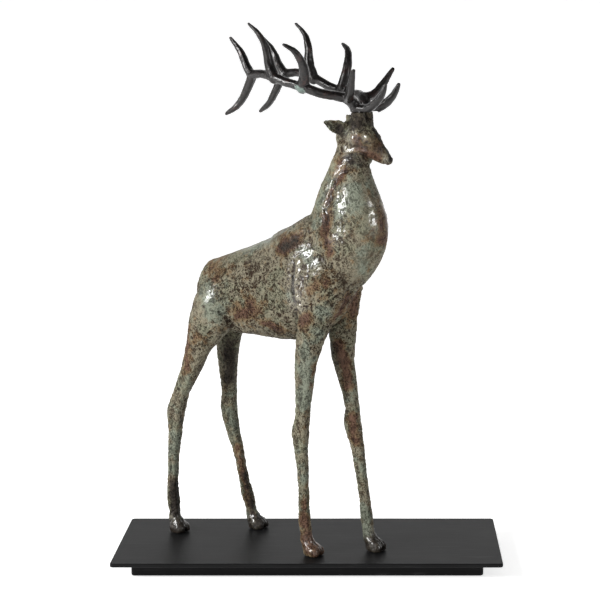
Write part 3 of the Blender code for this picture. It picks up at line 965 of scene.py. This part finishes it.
# The green value holds the grey-green patches: patina, and a painted sheen along the top of the back.
greenish = kept(bronze, "green") * 0.42 + leg * 0.12 + cloud * 1.1 + fleck * 0.3
olive_mask = (drift * 1.2 + cloud * 0.4).ramp(0.72, 0.9)
ochre_mask = rusty_and_shaded.ramp(0.66, 0.86)
green_mask = greenish.ramp(0.8, 1.1) * 0.9
rust_and_shade_mask = rusty_and_shaded.ramp(0.84, 1.04)
# Near-black is a stain in most places, and painted shade under the jaw, down the chest's front and in the shoulder
# crease.
black_mask = (stained_and_shaded * 0.6 + other * 0.6 + fleck * 0.4).ramp(0.7, 1.02)
colour = blend(bronze, brown, olive, olive_mask)
colour = blend(bronze, colour, ochre, ochre_mask)
colour = blend(bronze, colour, green, green_mask)
colour = blend(bronze, colour, rust, rust_and_shade_mask)
colour = blend(bronze, colour, black, black_mask)
colour = blend(bronze, colour, (0.008, 0.005, 0.003), pits.ramp(0.5, 1.3) * 0.7)

shine = (0.42 + fleck * 0.3 - waxed * 0.26).limited()
metal = (0.2 - green_mask * 0.15).limited()
unwaxed = 1 - waxed * 0.7
hold = (coarse * 0.7 + 0.3) * unwaxed
relief = bump(bronze, threads * (coarse * 0.85 + 0.15) * unwaxed, 0.35 * MM)
relief = bump(bronze, crumple * hold, 1.5 * MM, under=relief)
relief = bump(bronze, creases * hold, 0.3 * MM, 0.9, under=relief)
relief = bump(bronze, grit * hold, 0.25 * MM, 0.9, under=relief)
bronze.finish(Base_Color=colour, Roughness=shine, Metallic=metal, Normal=relief)
bronze.finish(IOR=1.5, Specular_IOR_Level=0.15)
bronze.finish(Coat_Weight=waxed.limited(), Coat_Roughness=0.24, Coat_IOR=1.65)
stag.data.materials.append(bronze.material)
print("stag painted")

# %% [markdown]
# ## Dark antler bronze
# The antlers took a nearly black brown that was rubbed back, so the flutes' ridges show a warmer metal with a
# clean gloss. One small spot of verdigris was left on each beam.

# %% Paint the antlers
dark = Paint("dark_antler_bronze")
patch = noise(dark, 14 * MM, shift=0.9)
speck = noise(dark, 2.2 * MM, detail=4, roughness=0.7, shift=3.3)
hollows = kept(dark, "pits")
tone = blend(dark, (0.004, 0.0035, 0.0035), (0.015, 0.012, 0.011), speck.ramp(0.38, 0.66))
tone = blend(dark, tone, (0.04, 0.015, 0.011), (patch * 0.7 + speck * 0.3).ramp(0.54, 0.68) * 0.7)
tone = blend(dark, tone, (0.07, 0.064, 0.06), (speck * 0.5 - hollows * 0.7).ramp(0.45, 1.0) * 0.5)
tone = blend(dark, tone, (0.13, 0.17, 0.15), (kept(dark, "verdigris") + speck * 0.5 - 0.6).ramp(0.15, 0.4) * 0.8)
gloss = (0.2 + speck * 0.2).limited()
grain = bump(dark, speck, 0.6 * MM, 0.8)
dark.finish(Base_Color=tone, Roughness=gloss, Metallic=0.4, Normal=grain, Specular_IOR_Level=0.4)
dark.finish(Coat_Weight=0.25, Coat_Roughness=0.16)
for side, antler in antlers.items():
    points, _ = read_skin(antler)
    keep_values(antler, "verdigris", patched(points, [(5, 1.0, [(62, side * 42, 499), (57, side * 43, 502)])]))
    antler.data.materials.append(dark.material)
print("antlers painted")

# %% [markdown]
# ## Black stand
# The plate is steel under satin black, and the slab under it is painted board. The brush leaves faint lengthwise
# streaks in colour and gloss, a few of them a little paler, and both finishes have a soft haze.


# %% Paint the stand
def satin_black(name, dark_tone, pale_tone, base_gloss):
    paint = Paint(name)
    streak = noise(paint, 2.4 * MM, stretch=(0.05, 1, 1), shift=0.4)
    haze = noise(paint, 60 * MM, detail=2, shift=2.2)
    tone = blend(paint, dark_tone, pale_tone, (streak * 0.6 + haze * 0.4).ramp(0.36, 0.66))
    tone = blend(paint, tone, (0.035, 0.035, 0.036), (streak * 0.7 + haze * 0.3).ramp(0.6, 0.7) * 0.6)
    gloss = (base_gloss + streak * 0.12 + haze * 0.06).limited()
    marks = bump(paint, streak, 0.08 * MM, 0.5)
    paint.finish(Base_Color=tone, Roughness=gloss, Normal=marks, Specular_IOR_Level=0.066)
    return paint.material


finishes = {
    "base_plate": satin_black("satin_black_steel", (0.006, 0.006, 0.0062), (0.009, 0.009, 0.0092), 0.36),
    "base_slab": satin_black("satin_black_board", (0.007, 0.007, 0.0072), (0.011, 0.011, 0.0113), 0.42),
}
for node, finish in finishes.items():
    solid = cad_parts[node]
    solid.data.materials.clear()
    solid.data.materials.append(finish)
print("stand painted")

# %% [markdown]
# ## Sweep
# A white sweep runs under the stand and up behind it with no corner, so there is no horizon. It is a plane whose
# far edge is extruded upwards, with the corner rounded by a wide bevel. It glows a little, as lit paper does, and
# that gives the bronze its pale rims.

# %% Lay the sweep
SWEEP_WIDTH, SWEEP_LENGTH, SWEEP_RISE, SWEEP_FOLD = 22, 18, 7, 3
bpy.ops.object.select_all(action="DESELECT")
bpy.ops.mesh.primitive_plane_add(size=1, location=(0, -3, 0))
sweep = bpy.context.active_object
sweep.name = "pale_sweep"
sweep.scale = (SWEEP_WIDTH, SWEEP_LENGTH, 1)
bpy.ops.object.transform_apply(location=True, rotation=True, scale=True)
bpy.ops.object.mode_set(mode="EDIT")
bpy.ops.mesh.select_mode(type="EDGE")
bpy.ops.mesh.select_all(action="DESELECT")
bpy.ops.object.mode_set(mode="OBJECT")
for edge in sweep.data.edges:
    edge.select = all(sweep.data.vertices[i].co.y > SWEEP_FOLD for i in edge.vertices)
bpy.ops.object.mode_set(mode="EDIT")
bpy.ops.mesh.extrude_region_move(TRANSFORM_OT_translate={"value": (0, 0, SWEEP_RISE)})
bpy.ops.object.mode_set(mode="OBJECT")
round_corner = sweep.modifiers.new("soft_fold", "BEVEL")
round_corner.width = SWEEP_FOLD
round_corner.segments = 20
apply_modifiers(sweep)
select_only(sweep)
bpy.ops.object.shade_smooth()
pale = Paint("pale_paper")
pale.finish(Base_Color=(0.9, 0.9, 0.895), Roughness=0.9, Specular_IOR_Level=0.1)
pale.finish(Emission_Color=(1.0, 1.0, 1.0), Emission_Strength=0.66)
sweep.data.materials.append(pale.material)
print("sweep laid")

# %% [markdown]
# ## Light
# A soft window stands to the left of the camera and a smaller one to the right. Gloss shows them as white wrinkles
# and edges, so their size matters as much as their power. The room itself is dimmer, which keeps the gloss crisp.


# %% Set the lights
def soft_light(name, location, target, width, height, power):
    """A glowing rectangle, in metres and watts, turned to face its target."""
    lamp = bpy.data.lights.new(name, "AREA")
    lamp.energy = power
    lamp.shape = "RECTANGLE"
    lamp.size = width
    lamp.size_y = height
    holder = bpy.data.objects.new(name, lamp)
    bpy.context.scene.collection.objects.link(holder)
    holder.location = location
    holder.rotation_euler = (Vector(target) - Vector(location)).to_track_quat("-Z", "Y").to_euler()


MIDDLE = (0, 0, 0.3)
soft_light("window", (-1.89, -1.18, 1.25), MIDDLE, width=0.6, height=0.9, power=82)
soft_light("side", (1.7, -1.4, 1.1), MIDDLE, width=0.24, height=0.45, power=13)
world = bpy.data.worlds.new("white_sky")
world.use_nodes = True
world.node_tree.nodes["Background"].inputs["Color"].default_value = (1, 1, 1, 1)
world.node_tree.nodes["Background"].inputs["Strength"].default_value = 0.1
bpy.context.scene.world = world
bpy.context.scene.view_settings.view_transform = "Standard"
print("studio ready")
